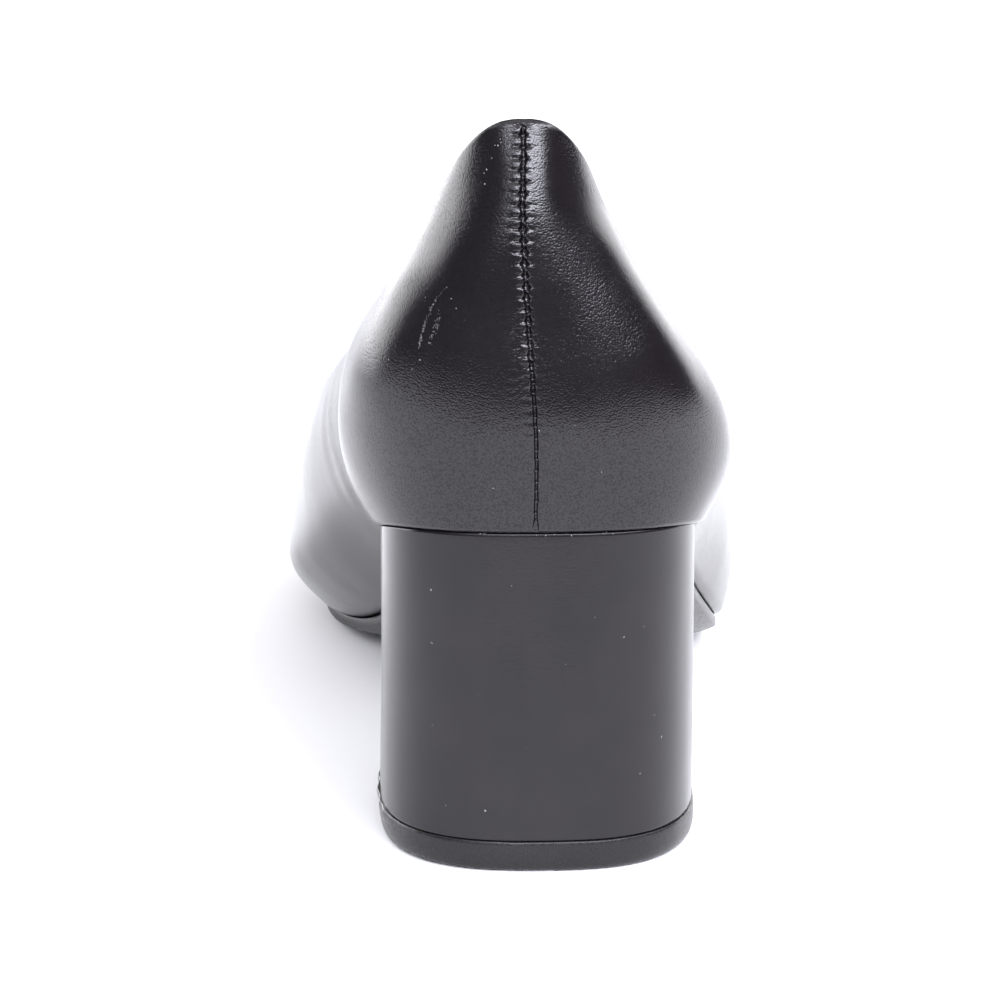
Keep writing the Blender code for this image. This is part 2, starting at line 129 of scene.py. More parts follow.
def knot_slopes(knots, values, closed=False):
    """Slopes at the knots of the smooth cubic through values, with free ends or closed on itself."""
    n = len(knots)
    h = np.diff(knots)
    m = np.zeros((n, n))
    b = np.zeros_like(values)
    for i in range(1, n - 1):
        m[i, i - 1], m[i, i], m[i, i + 1] = 1 / h[i - 1], 2 / h[i - 1] + 2 / h[i], 1 / h[i]
        b[i] = 3 * ((values[i] - values[i - 1]) / h[i - 1] ** 2 + (values[i + 1] - values[i]) / h[i] ** 2)
    if closed:
        m[0, n - 2], m[0, 0], m[0, 1] = 1 / h[-1], 2 / h[-1] + 2 / h[0], 1 / h[0]
        b[0] = 3 * ((values[0] - values[-2]) / h[-1] ** 2 + (values[1] - values[0]) / h[0] ** 2)
        m[-1, 0], m[-1, -1] = 1, -1
    else:
        m[0, 0], m[0, 1], b[0] = 2, 1, 3 * (values[1] - values[0]) / h[0]
        m[-1, -2], m[-1, -1], b[-1] = 1, 2, 3 * (values[-1] - values[-2]) / h[-1]
    return np.linalg.solve(m, b)


def spline_at(knots, values, slopes, at):
    at = np.atleast_1d(np.asarray(at, float))
    i = np.clip(np.searchsorted(knots, at, side="right") - 1, 0, len(knots) - 2)
    h = (knots[i + 1] - knots[i])[:, None]
    t = (at - knots[i])[:, None] / h
    p0, p1, m0, m1 = values[i], values[i + 1], slopes[i] * h, slopes[i + 1] * h
    place = p0 * (2 * t**3 - 3 * t**2 + 1) + m0 * (t**3 - 2 * t**2 + t) + p1 * (3 * t**2 - 2 * t**3) + m1 * (t**3 - t**2)
    slope = (p0 * (6 * t**2 - 6 * t) + m0 * (3 * t**2 - 4 * t + 1) + p1 * (6 * t - 6 * t**2) + m1 * (3 * t**2 - 2 * t)) / h
    return place, slope


def line_through(table, names, name):
    y = column(table, names, "y")
    z = column(table, names, name)[:, None]
    slopes = knot_slopes(y, z)
    return lambda at: spline_at(y, z, slopes, np.clip(at, y[0], y[-1]))[0][:, 0]


bottom_z = line_through(BOTTOM_LINE, BOTTOM_COLUMNS, "z")
edge_z = line_through(EDGE_LINE, EDGE_COLUMNS, "z")
ridge_x = line_through(RIDGE_LINE, RIDGE_COLUMNS, "x")
ridge_z = line_through(RIDGE_LINE, RIDGE_COLUMNS, "z")


def smooth(a, b, x):
    """0 below a, 1 above b, smooth between."""
    t = np.clip((np.asarray(x, float) - a) / (b - a), 0, 1)
    return t * t * (3 - 2 * t)


# ------------------------------------------------------------------ the last


def heel_points(side, angle):
    points = []
    for level, share, (back_y, seam_x, power, _) in zip(LEVELS, LEVEL_SHARE, ENDS):
        width = side * column(SECTIONS, SECTION_COLUMNS, ("lat_" if side > 0 else "med_") + level)[0]
        x = seam_x + (width - seam_x) * math.sin(angle) ** (2 / power)
        y = HEEL_STATION - (HEEL_STATION - back_y) * math.cos(angle) ** (2 / power)
        points.append((x, y, share))
    return points


def section_points(side, row):
    name = "lat_" if side > 0 else "med_"
    return [(side * row[SECTION_COLUMNS.index(name + level)], row[0], share) for level, share in zip(LEVELS, LEVEL_SHARE)]


def with_height(points):
    p = np.array(points, float)
    low, high = bottom_z(p[:, 1]), edge_z(p[:, 1])
    p[:, 2] = low + p[:, 2] * (high - low)
    return p


def last_lines():
    angles = [math.radians(a) for a in (22.5, 45.0, 67.5)]
    back = [(end[1], end[0], share) for end, share in zip(ENDS, LEVEL_SHARE)]
    tip = [(TOE_TIP_X, end[3], share) for end, share in zip(ENDS, LEVEL_SHARE)]
    lateral = [heel_points(1, a) for a in angles] + [section_points(1, row) for row in SECTIONS]
    medial = [heel_points(-1, a) for a in angles] + [section_points(-1, row) for row in SECTIONS]
    nodes = np.array([with_height(n) for n in [back] + lateral + [tip] + medial[::-1] + [back]])
    plan = nodes[:, LEVELS.index("bulge"), :2]
    steps = np.hypot(*np.diff(plan, axis=0).T)
    steps = (steps + steps[::-1]) / 2
    return np.concatenate([[0], np.cumsum(steps)]), nodes.reshape(len(nodes), -1)


KNOTS, NODES = last_lines()
SLOPES = knot_slopes(KNOTS, NODES, closed=True)
ROUND = KNOTS[-1]
SECTION_KNOT = 4
TIP_KNOT = len(KNOTS) // 2


def lines_at(u):
    place, slope = spline_at(KNOTS, NODES, SLOPES, u)
    return place.reshape(-1, len(LEVELS), 3), slope.reshape(-1, len(LEVELS), 3)


_fine = np.linspace(0, KNOTS[TIP_KNOT], 4000)
_fine_lines = lines_at(_fine)[0]


def u_of_edge(y):
    return np.interp(y, _fine_lines[:, -1, 1], _fine)


def u_of_feather(y):
    return np.interp(y, _fine_lines[:, 0, 1], _fine)


def inward(slope):
    n = np.array([-slope[1], slope[0], 0.0])
    return n / np.linalg.norm(n)


def by_length(points, shares, start=0.0, end=0.0):
    """Points at shares of a polyline's length, leaving out start and end millimetres of it."""
    run = np.concatenate([[0], np.cumsum(np.linalg.norm(np.diff(points, axis=0), axis=1))])
    at = start + (run[-1] - end - start) * np.asarray(shares)
    return np.stack([np.interp(at, run, points[:, k]) for k in range(3)], axis=1)


def throat_share(y, reach):
    t = float(np.clip((y - THROAT_START) / (reach - THROAT_START), 0, 1))
    return 1 - max(0.0, 1 - t**THROAT_SQUARENESS) ** (1 / THROAT_SQUARENESS)


def wall_line(u, reach=THROAT_Y):
    """Rib of the upper's outside from the featherline up to the topline, or to the ridge of the vamp."""
    side = 1 if u <= KNOTS[TIP_KNOT] else -1
    place, slope = lines_at(u)
    place, slope = place[0], slope[0]
    knots = np.array(LEVEL_SHARE)
    wall, along = spline_at(knots, place, knot_slopes(knots, place), np.linspace(0, 1, 240))
    edge, edge_y = wall[-1], wall[-1, 1]
    share = throat_share(edge_y, reach)
    if share > 0:
        top = np.array([ridge_x(edge_y)[0], edge_y, ridge_z(edge_y)[0]])
        span = np.linalg.norm(top - edge)
        first = edge + along[-1] / np.linalg.norm(along[-1]) * span * 0.36
        second = top + np.array([side * span * 0.36, 0, 0])
        t = np.linspace(0, share, 160)[1:, None]
        cap = edge * (1 - t) ** 3 + 3 * first * t * (1 - t) ** 2 + 3 * second * t**2 * (1 - t) + top * t**3
        wall = np.concatenate([wall, cap])
    return wall, inward(slope[0]), share >= 1


TURN_ROWS, ROUND_ROWS = 2, 5          # rows, in the coarse part, under the foot and round the featherline


def rib(u, rows, reach=THROAT_Y, short=0.0):
    """One rib with rows + 1 points: lasting margin, rounded featherline, wall."""
    wall, into, closed = wall_line(u, reach)
    scale = rows / ROW_STEPS
    turn, bend = int(TURN_ROWS * scale), int(ROUND_ROWS * scale)
    foot = wall[0]
    tight, rolled = FEATHER_ROUND
    radius = tight + (rolled - tight) * float(smooth(14, 60, foot[1]))
    reach_in = np.linspace(MARGIN, radius, turn + 1)[:, None]
    under = foot + into * reach_in
    under[:, 2] = bottom_z(under[:, 1])
    up = rows - turn - bend
    t = np.linspace(0, 1, up + 1)
    upright = by_length(wall, 1.22 * t - 0.22 * t * t, radius, 0.0 if closed else short)
    t = np.linspace(0, 1, bend + 1)[1:-1, None]
    rounded = under[-1] * (1 - t) ** 2 + 2 * foot * t * (1 - t) + upright[0] * t**2
    return np.concatenate([under, rounded, upright]), closed


# ------------------------------------------------------------------ meshes


def to_metres(points):
    return (np.asarray(points, float) - np.array([*PLAN_CENTRE, 0.0])) / 1000


def new_piece(name, points, faces, material, replaces=None, sharp=40):
    mesh = bpy.data.meshes.new(name)
    mesh.from_pydata(to_metres(points).tolist(), [], [tuple(int(i) for i in f) for f in faces])
    mesh.validate()
    mesh.shade_smooth()
    if sharp:
        mesh.set_sharp_from_angle(angle=math.radians(sharp))
    mesh.materials.append(material)
    obj = bpy.data.objects.new(name, mesh)
    bpy.context.scene.collection.objects.link(obj)
    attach(obj, "root")
    if replaces:
        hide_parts(replaces)
    return obj


def face_normals(points, faces):
    """Area-weighted point normals of a mesh of polygons."""
    normals = np.zeros_like(points)
    for size in sorted({len(f) for f in faces}):
        group = np.array([f for f in faces if len(f) == size])
        total = np.zeros((len(group), 3))
        first = points[group[:, 0]]
        for k in range(1, size - 1):
            total += np.cross(points[group[:, k]] - first, points[group[:, k + 1]] - first)
        for k in range(size):
            np.add.at(normals, group[:, k], total)
    return normals / np.maximum(np.linalg.norm(normals, axis=1, keepdims=True), 1e-12)


def rib_columns(seam_steps, beside_steps, heel_steps, side_steps, throat_steps, toe_steps, tip_steps, reach=THROAT_Y):
    """u and row multiple of each rib on the lateral side."""
    seam = SEAM_ZONE[0] * np.linspace(0, 1, seam_steps + 1) ** 1.35
    beside = np.linspace(*SEAM_ZONE, beside_steps + 1)
    heel = np.linspace(SEAM_ZONE[1], u_of_edge(HEEL_ZONE_Y), heel_steps + 1)
    side = u_of_edge(np.linspace(HEEL_ZONE_Y, THROAT_START, side_steps + 1))
    throat = u_of_edge(THROAT_START + (reach - THROAT_START) * np.sin(np.linspace(0, math.pi / 2, throat_steps + 1)))
    toe = u_of_edge(np.linspace(reach, SECTIONS[-1][0], toe_steps + 1))
    tip = np.linspace(KNOTS[TIP_KNOT - 1], KNOTS[TIP_KNOT], tip_steps + 1)
    us = np.concatenate([seam, beside[1:], heel[1:], side[1:], throat[1:], toe[1:], tip[1:]])
    fine = [8] * len(seam) + [4] * beside_steps + [2] * heel_steps
    return us, np.array(fine + [1] * (len(us) - len(fine)))


def rib_net(us, multiples, reach=THROAT_Y, short=0.0):
    """Points and faces of the outside through all ribs, with the rows halved from the seam outwards."""
    around = np.concatenate([us, (ROUND - us[1:-1])[::-1]])
    many = np.concatenate([multiples, multiples[1:-1][::-1]])
    count = len(around)
    points, columns, open_rib = [], [], []
    for i in range(count):
        line, closed = rib(around[i], ROW_STEPS * many[i], reach, short)
        index = list(range(len(points), len(points) + len(line)))
        if closed and i > count // 2:
            index[-1] = columns[count - i][-1]
            line = line[:-1]
        points.extend(line)
        columns.append(index)
        open_rib.append(not closed)
    faces = []
    for i in range(count):
        n = (i + 1) % count
        a, b = columns[i], columns[n]
        if len(a) == len(b):
            faces += [(a[j], b[j], b[j + 1], a[j + 1]) for j in range(len(a) - 1)]
        elif len(a) > len(b):
            faces += [(a[2 * j], b[j], b[j + 1], a[2 * j + 2], a[2 * j + 1]) for j in range(len(b) - 1)]
        else:
            faces += [(a[j], b[2 * j], b[2 * j + 1], b[2 * j + 2], a[j + 1]) for j in range(len(a) - 1)]
    return np.array(points), faces, columns, around, np.array(open_rib)


def rim(columns, open_rib, end):
    """Edges of the net along its first or last row, in rib order."""
    edges = []
    count = len(columns)
    for i in range(count):
        n = (i + 1) % count
        if end == 0 or open_rib[i] or open_rib[n]:
            edges.append((columns[i][end], columns[n][end]))
    return edges


def wobble(points, size, seed):
    """Smooth noise from -1 to 1 over points in mm, with features of about that size."""
    shift = Vector((seed * 13.7, seed * 7.1, seed * 3.3))
    return np.array([noise.noise(Vector(p) / size + shift) for p in points])


# back seam: the same places carry the groove, the puckers and the stitches
SEAM_RIB = rib(0.0, ROW_STEPS * 4, THROAT_Y + EDGE_ROLL, EDGE_ROLL)[0]
SEAM_TOP_Z = SEAM_RIB[-1, 2]


def seam_aside(z):
    """The seam runs a little to the inner side of the middle rib, except at the very top."""
    return -0.45 * (1 - smooth(106, 119, z))


def seam_x(z):
    order = np.argsort(SEAM_RIB[:, 2])
    return np.interp(z, SEAM_RIB[order, 2], SEAM_RIB[order, 0]) + seam_aside(z)


def seam_relief(points):
    """How far the leather stands in or out beside the back seam, mm."""
    x, y, z = points.T
    near = (y < 34) & (np.abs(x - seam_x(z)) < 20)
    d = np.where(near, x - seam_x(z), 99.0)
    a = np.abs(d)
    left = d < 0
    up = smooth(66, 100, z)                 # the seam is open and puckered at the top, tight below
    top = 1 - 0.9 * smooth(SEAM_TOP_Z - 1.3, SEAM_TOP_Z - 0.1, z)
    above = z - bottom_z(y)
    step = (SEAM_TOP_Z - z) / STITCH_PITCH
    turn = step - np.round(step)            # 0 at a pinch, half way between stitches
    count = np.round(step)
    pinch = np.exp(-((turn * STITCH_PITCH / 0.30) ** 2))
    open_wide = 1 + 0.75 * up * (pinch - 0.35) + 0.18 * np.sin(2.3 * count + 0.9 * np.sign(d))
    depth = (0.46 + 0.38 * up) * top
    width = (0.28 + 0.14 * up) * open_wide + 0.22 * (1 - smooth(0.4, 3.0, above))
    groove = -depth * np.exp(-((a / width) ** 4))
    pads = (0.05 + 0.06 * up) * np.exp(-(((a - 1.0) / 0.75) ** 2)) * top
    left_right = np.where(left, 1.0 + 0.2 * np.sin(5.1 * count), 0.50 + 0.25 * np.sin(3.7 * count + 1.0))
    strength = 0.22 * smooth(56, 66, z) + 0.18 * smooth(76, 88, z) + 0.60 * smooth(94, 108, z)
    pucker = -0.21 * strength * pinch * np.exp(-(((a - 0.6) / np.where(left, 1.0, 0.65)) ** 2)) * left_right * top
    long_pinch = -0.035 * strength * np.exp(-((turn * STITCH_PITCH / 0.42) ** 2)) * np.exp(-((a / 2.6) ** 2)) * left_right
    wrinkle_band = smooth(76, 81, z) * (1 - smooth(90, 96, z)) * np.exp(-(((a - 2.4) / 2.6) ** 2))
    wander = z + 0.10 * a + 0.5 * np.sin(0.8 * d + 0.3 * z) + 0.35 * np.sin(1.9 * d - 0.7 * z)
    wrinkles = np.where(left, 0.020, 0.007) * wrinkle_band * np.sin(2 * math.pi * wander / 1.15)
    return groove + pads + pucker + long_pinch + wrinkles


def soft_folds(points):
    """Slow unevenness of lasted leather, and the soft lines where the heel stiffener ends, mm."""
    x, y, z = points.T
    out = 0.16 * wobble(points, 24.0, 1) + 0.07 * wobble(points, 9.0, 2)
    quarter = smooth(44, 54, y) * (1 - smooth(92, 104, y))
    medial, lateral = smooth(-10, -16, x), smooth(10, 16, x)
    for side, place, lean, depth, width in ((medial, 63.0, 0.30, -0.34, 2.6), (medial, 71.0, 0.22, 0.16, 3.2),
                                            (medial, 80.0, 0.10, -0.14, 3.0), (lateral, 66.0, 0.25, -0.22, 3.0)):
        out += depth * side * quarter * np.exp(-(((y - place - lean * (70 - z)) / width) ** 2))
    # the stiffener fills the cup's corners unevenly
    inner, outer = smooth(-2, -9, x), smooth(1, 6, x)
    out += 0.70 * inner * smooth(29, 15.5, y) * smooth(5.5, 14.5, y) * smooth(99, 92, z) * smooth(70, 79, z)
    out += 0.60 * outer * smooth(24, 15, y) * smooth(4, 13.5, y) * smooth(107, 99, z) * smooth(80, 95, z)
    # where the stiffener ends, two soft lines lean down the inner side of the waist
    waist = smooth(-22, -27, x) * smooth(38, 44, z) * smooth(62, 56, z)
    for place, depth, width in ((91.0, 0.10, 1.5), (94.5, -0.12, 1.7), (86.5, -0.10, 1.6), (99.5, 0.06, 2.2)):
        out += depth * waist * np.exp(-(((y - place - 0.75 * (z - 49.5)) / width) ** 2))
    # the vamp bends across the ball: two faint creases
    top = smooth(12, 22, z) * smooth(128, 138, y)
    for place, depth in ((156.0, -0.10), (176.0, -0.16), (182.5, 0.08)):
        out += depth * top * np.exp(-(((y - place - 0.05 * x) / 2.6) ** 2))
    return out


TOPLINE = []   # points along the upper's edge, once the upper is built


def edge_distance(points):
    """Distance from the topline, mm."""
    edge = np.array(TOPLINE)
    away = np.full(len(points), 99.0)
    for start in range(0, len(points), 4000):
        block = points[start:start + 4000]
        away[start:start + 4000] = np.sqrt(((block[:, None] - edge[None]) ** 2).sum(2).min(1))
    return away


def back_fullness(points, away):
    """The stiffener makes the back a little full, falling off towards the topline, mm."""
    return 0.60 * smooth(42, 8, points[:, 1]) * smooth(86, 106, points[:, 2]) * smooth(0.8, 15.0, away)


def build_upper(material):
    us, multiples = rib_columns(20, 8, 62, 30, 30, 30, 16, THROAT_Y + EDGE_ROLL)
    points, faces, columns, around, open_rib = rib_net(us, multiples, THROAT_Y + EDGE_ROLL, EDGE_ROLL)
    normals = face_normals(points, faces)
    TOPLINE.extend(points[[c[-1] for c, o in zip(columns, open_rib) if o] + [columns[int(np.argmin(open_rib))][-1]]])
    away = edge_distance(points)
    above = points[:, 2] - bottom_z(points[:, 1])
    lift = seam_relief(points) * smooth(-0.1, 0.7, above) + soft_folds(points) * smooth(0.5, 6, away) * smooth(-0.2, 3.0, above)
    lift += back_fullness(points, away)
    outer = points + normals * lift[:, None]
    fold = WALL + FOLD_PROUD
    deep = LEATHER + (fold - LEATHER) * (1 - smooth(FOLD_REACH - 0.25, FOLD_REACH + 0.25, away))
    inner = points - normals * deep[:, None]
    total = len(points)
    all_points = [outer, inner]
    all_faces = list(faces) + [tuple(v + total for v in f[::-1]) for f in faces]
    all_faces += [(b, a, a + total, b + total) for a, b in rim(columns, open_rib, 0)]
    # the topline: leather rolled over the edge in a half round
    edges = rim(columns, open_rib, -1)
    upward = {}
    for c in columns:
        t = points[c[-1]] - points[c[-4]]
        upward.setdefault(c[-1], []).append(t / np.linalg.norm(t))
    arcs, made, base = 5, {}, 2 * total
    extra = []
    for v in dict.fromkeys(v for e in edges for v in e):
        t = np.mean(upward[v], axis=0)
        if len(upward[v]) > 1 or np.linalg.norm(t) < 0.5:
            t = np.array([0.0, -1.0, 0.25])
        n = normals[v]
        t = t - n * np.dot(t, n)
        t /= np.linalg.norm(t)
        centre = (outer[v] + inner[v]) / 2
        half = np.linalg.norm(outer[v] - inner[v]) / 2
        made[v] = [v] + [base + len(extra) + k for k in range(arcs)] + [v + total]
        for k in range(1, arcs + 1):
            angle = math.pi * k / (arcs + 1)
            extra.append(centre + half * (n * math.cos(angle) + t * math.sin(angle)))
    all_points.append(np.array(extra))
    for a, b in edges:
        for k in range(arcs + 1):
            all_faces.append((made[a][k], made[b][k], made[b][k + 1], made[a][k + 1]))
    return new_piece("upper_leather", np.concatenate(all_points), all_faces, material, "upper", sharp=0)


def build_lining(material):
    """Lining leather inside the upper, from under the folded edge down to the lasting margin."""
    us = np.concatenate([np.linspace(0, u_of_edge(THROAT_START), 60),
                         u_of_edge(THROAT_START + (THROAT_Y + 1.4 - THROAT_START) * np.sin(np.linspace(0, math.pi / 2, 17)))[1:],
                         u_of_edge(np.linspace(THROAT_Y + 1.4, SECTIONS[-1][0], 16))[1:],
                         np.linspace(KNOTS[TIP_KNOT - 1], KNOTS[TIP_KNOT], 9)[1:]])
    points, faces, columns, around, open_rib = rib_net(us, np.ones(len(us), int), THROAT_Y + 1.4, 1.4)
    normals = face_normals(points, faces)
    total = len(points)
    outer, inner = points - normals * (LEATHER + 0.06), points - normals * WALL
    inner += normals * (0.05 * wobble(points, 14.0, 5))[:, None]
    all_faces = list(faces) + [tuple(v + total for v in f[::-1]) for f in faces]
    all_faces += [(b, a, a + total, b + total) for a, b in rim(columns, open_rib, 0)]
    all_faces += [(a, b, b + total, a + total) for a, b in rim(columns, open_rib, -1)]
    return new_piece("lining", np.concatenate([outer, inner]), all_faces, material, sharp=0)


def outline(us, offset):
    place, slope = lines_at(us)
    return np.array([p[0] - inward(s[0]) * offset for p, s in zip(place, slope)])


def sheet(lateral, medial, across, heights):
    """A closed sheet between two outlines. heights(spot, share) gives the points of one stack from bottom to top."""
    points, faces, where = [], [], {}
    layers = len(heights(lateral[0], 0.5))

    def vertex(k, c, layer):
        ends_meet = np.allclose(lateral[k], medial[k])
        key = (k, 0 if ends_meet else c, layer)
        if key not in where:
            spot = lateral[k] + (medial[k] - lateral[k]) * across[c]
            where[key] = len(points)
            x, y, z = heights(spot, across[c])[layer]
            points.append((x, y, z))
        return where[key]

    def face(*corners):
        kept = [c for i, c in enumerate(corners) if c != corners[i - 1]]
        if len(kept) > 2:
            faces.append(tuple(kept))

    top, last, end = layers - 1, len(lateral) - 1, len(across) - 1
    for k in range(last):
        for c in range(end):
            face(vertex(k, c, top), vertex(k + 1, c, top), vertex(k + 1, c + 1, top), vertex(k, c + 1, top))
            face(vertex(k, c + 1, 0), vertex(k + 1, c + 1, 0), vertex(k + 1, c, 0), vertex(k, c, 0))
        for n in range(top):
            face(vertex(k, 0, n), vertex(k + 1, 0, n), vertex(k + 1, 0, n + 1), vertex(k, 0, n + 1))
            face(vertex(k, end, n + 1), vertex(k + 1, end, n + 1), vertex(k + 1, end, n), vertex(k, end, n))
    if not np.allclose(lateral[0], medial[0]):
        for c in range(end):
            for n in range(top):
                face(vertex(0, c, n), vertex(0, c, n + 1), vertex(0, c + 1, n + 1), vertex(0, c + 1, n))
    return points, faces


def long_us(start, count):
    """u of the cross lines of a sheet, from start to the toe tip, closer together at the ends."""
    t = (1 - np.cos(np.linspace(0, math.pi, count))) / 2
    return start + (KNOTS[TIP_KNOT] - start) * (0.35 * t + 0.65 * np.linspace(0, 1, count))


def edge_shares(count):
    return (1 - np.cos(np.linspace(0, math.pi, count))) / 2


def build_sock(material):
    """Sock on the insole, slightly dished, its edge turned up against the lining."""
    us = long_us(0.0, 110)
    lateral, medial = outline(us, -2.5), outline(ROUND - us, -2.5)
    shares = edge_shares(36)

    def heights(spot, share):
        low = bottom_z(spot[1])[0] + WALL + GAP
        edge = abs(2 * share - 1)
        rise = 0.9 * edge ** 5 - 0.25 * (1 - edge ** 2)
        return [(spot[0], spot[1], low), (spot[0], spot[1], low + 1.25 + rise), (spot[0], spot[1], low + 1.55 + rise)]

    points, faces = sheet(lateral, medial, shares, heights)
    return new_piece("insole_sock", points, faces, material, "insole", sharp=50)


def build_outsole(material):
    start_y = HEEL[0][HEEL_COLUMNS.index("breast_y")] + GAP
    us = long_us(float(u_of_feather(start_y)), 150)
    lateral, medial = outline(us, -SOLE_INSET), outline(ROUND - us, -SOLE_INSET)
    lateral[0, 1] = medial[0, 1] = start_y
    shares = edge_shares(44)

    def heights(spot, share):
        top = bottom_z(spot[1])[0] - GAP
        edge = abs(2 * share - 1)
        thick = SOLE_EDGE + (SOLE_MID - SOLE_EDGE) * (1 - edge ** SOLE_EDGE_POWER)
        low = max(0.0, top - thick)
        body = top - low
        out = 0.22 * (1 if share < 0.5 else -1) if edge > 0.999 else 0.0
        return [(spot[0], spot[1], low), (spot[0] + out * 0.7, spot[1], low + 0.18 * body), (spot[0] + out, spot[1], low + 0.45 * body),
                (spot[0] + out * 0.8, spot[1], low + 0.80 * body), (spot[0], spot[1], top)]

    points, faces = sheet(lateral, medial, shares, heights)
    return new_piece("outsole_trimmed", points, faces, material, "outsole", sharp=50)


def ring(half_width, middle_x, back_y, wide_y, breast_y, inset=0.0, steps=(44, 8, 8, 10)):
    """Plan of the heel from the back, round the lateral side, to the middle of the breast, and the other half."""
    back_steps, side_steps, corner_steps, breast_steps = steps
    half_width, back_y, breast_y = half_width - inset, back_y + inset, breast_y - inset
    half = []
    for t in np.linspace(0, math.pi / 2, back_steps + 1):
        half.append((half_width * math.sin(t) ** (2 / HEEL_SQUARENESS), wide_y - (wide_y - back_y) * math.cos(t) ** (2 / HEEL_SQUARENESS)))
    corner_y = breast_y - BREAST_ROUND
    half += [(half_width, wide_y + (corner_y - wide_y) * k / side_steps) for k in range(1, side_steps + 1)]
    for t in np.linspace(0, math.pi / 2, corner_steps + 1)[1:]:
        half.append((half_width - BREAST_ROUND + BREAST_ROUND * math.cos(t), corner_y + BREAST_ROUND * math.sin(t)))
    inner = half_width - BREAST_ROUND
    half += [(inner * (1 - k / breast_steps), breast_y) for k in range(1, breast_steps + 1)]
    lateral = [(middle_x + x, y) for x, y in half]
    medial = [(middle_x - x, y) for x, y in half[1:-1]]
    return np.array(lateral + medial[::-1])


def stack(rings):
    count = len(rings[0])
    faces = []
    for k in range(len(rings) - 1):
        for i in range(count):
            n = (i + 1) % count
            faces.append((k * count + n, k * count + i, (k + 1) * count + i, (k + 1) * count + n))
    half = count // 2
    for base, turn in ((0, 1), ((len(rings) - 1) * count, -1)):
        for i in range(half):
            strip = [base + v for v in dict.fromkeys((i, i + 1, (count - i - 1) % count, (count - i) % count))]
            faces.append(tuple(strip[::turn]))
    return np.concatenate(rings), faces


def corner_ease(points):
    """How far the heel's outer back corner is rounded forwards, mm."""
    share = np.clip((points[..., 0] - 0.7) / 26.0, 0.0, 1.05)
    return 1.2 * share ** 6 * smooth(34, 14, points[..., 1])


def build_heel(material):
    """Block heel: edges eased at the seat and at the top piece, sides very slightly uneven as lacquered plastic is."""
    level = column(HEEL, HEEL_COLUMNS, "level")
    values = np.array([row[1:] for row in HEEL], float)
    slopes = knot_slopes(level, values)
    foot = TOP_PIECE_THICK + 0.06
    rings = []
    ends = [(0.0, 0.22), (0.0015, 0.08), (0.004, 0.015)]
    places = ends + [(a, 0.0) for a in np.linspace(0.012, 0.990, 70)] + [(0.997, 0.02), (0.9992, 0.07), (1.0, 0.16)]
    for at, inset in places:
        plan = ring(*spline_at(level, values, slopes, at)[0][0], inset=inset)
        height = (bottom_z(plan[:, 1]) - 0.1) * (1 - at) + foot * at
        rings.append(np.column_stack([plan, height]))
    points, faces = stack(rings)
    points[:, 1] += corner_ease(points)
    middle = np.array([0.7, 26.0])
    out = points[:, :2] - middle
    out /= np.maximum(np.linalg.norm(out, axis=1, keepdims=True), 1e-6)
    lift = 0.05 * wobble(points, 16.0, 8) + 0.015 * wobble(points, 5.0, 9)
    points[:, :2] += out * lift[:, None]
    return new_piece("heel_block_lacquered", points, faces, material, "heel_block", sharp=60)


def build_top_piece(material):
    """Top piece: a moulded lift, its top edge a little ragged where it meets the block, its foot edge worn round."""
    rings = []
    for height, inset in ((TOP_PIECE_THICK, 0.18), (TOP_PIECE_THICK - 0.03, 0.07), (TOP_PIECE_THICK - 0.12, 0.01), (4.2, 0.0), (3.2, 0.0),
                          (2.2, 0.02), (1.3, 0.12), (0.7, 0.3), (0.3, 0.55), (0.08, 0.85), (0.0, 1.3)):
        plan = ring(**TOP_PIECE, inset=inset)
        rings.append(np.column_stack([plan, np.full(len(plan), height)]))
    points, faces = stack(rings)
    points[:, 1] += corner_ease(points)
    middle = np.array([0.7, 26.0])
    out = points[:, :2] - middle
    out /= np.maximum(np.linalg.norm(out, axis=1, keepdims=True), 1e-6)
    rough = 0.05 * wobble(points, 4.0, 11) + 0.10 * wobble(points, 1.6, 12) * smooth(4.0, 5.0, points[:, 2])
    rough += 0.35 * smooth(-22.5, -25.0, points[:, 0]) * smooth(2.0, 4.6, points[:, 2]) * (0.6 + wobble(points, 3.0, 13))
    points[:, :2] += out * rough[:, None] * smooth(0.0, 0.6, points[:, 2])[:, None]
    points[:, 2] += 0.06 * wobble(points, 2.2, 14) * smooth(4.0, 5.0, points[:, 2]) - 0.05 * smooth(4.5, 5.0, points[:, 2])
    return new_piece("top_piece_moulded", points, faces, material, "heel_top_piece", sharp=60)


def tube(path, radius, sides=8):
    """A closed tube along a short path, its ends rounded off."""
    path = np.asarray(path, float)
    points, faces = [], []
    count = len(path)
    for i in range(count):
        t = path[min(i + 1, count - 1)] - path[max(i - 1, 0)]
        t /= np.linalg.norm(t)
        a = np.cross(t, [0.31, 0.17, 0.93])
        a /= np.linalg.norm(a)
        b = np.cross(t, a)
        end = min(i, count - 1 - i)
        r = radius * (0.45 if end == 0 else 0.85 if end == 1 else 1.0)
        for k in range(sides):
            angle = 2 * math.pi * k / sides
            points.append(path[i] + r * (a * math.cos(angle) + b * math.sin(angle)))
    for i in range(count - 1):
        for k in range(sides):
            n = (k + 1) % sides
            faces.append((i * sides + k, i * sides + n, (i + 1) * sides + n, (i + 1) * sides + k))
    faces.append(tuple(range(sides))[::-1])
    faces.append(tuple((count - 1) * sides + k for k in range(sides)))
    return points, faces


def joined(parts):
    points, faces = [], []
    for p, f in parts:
        faces += [tuple(i + len(points) for i in face) for face in f]
        points += list(p)
    return np.array(points), faces


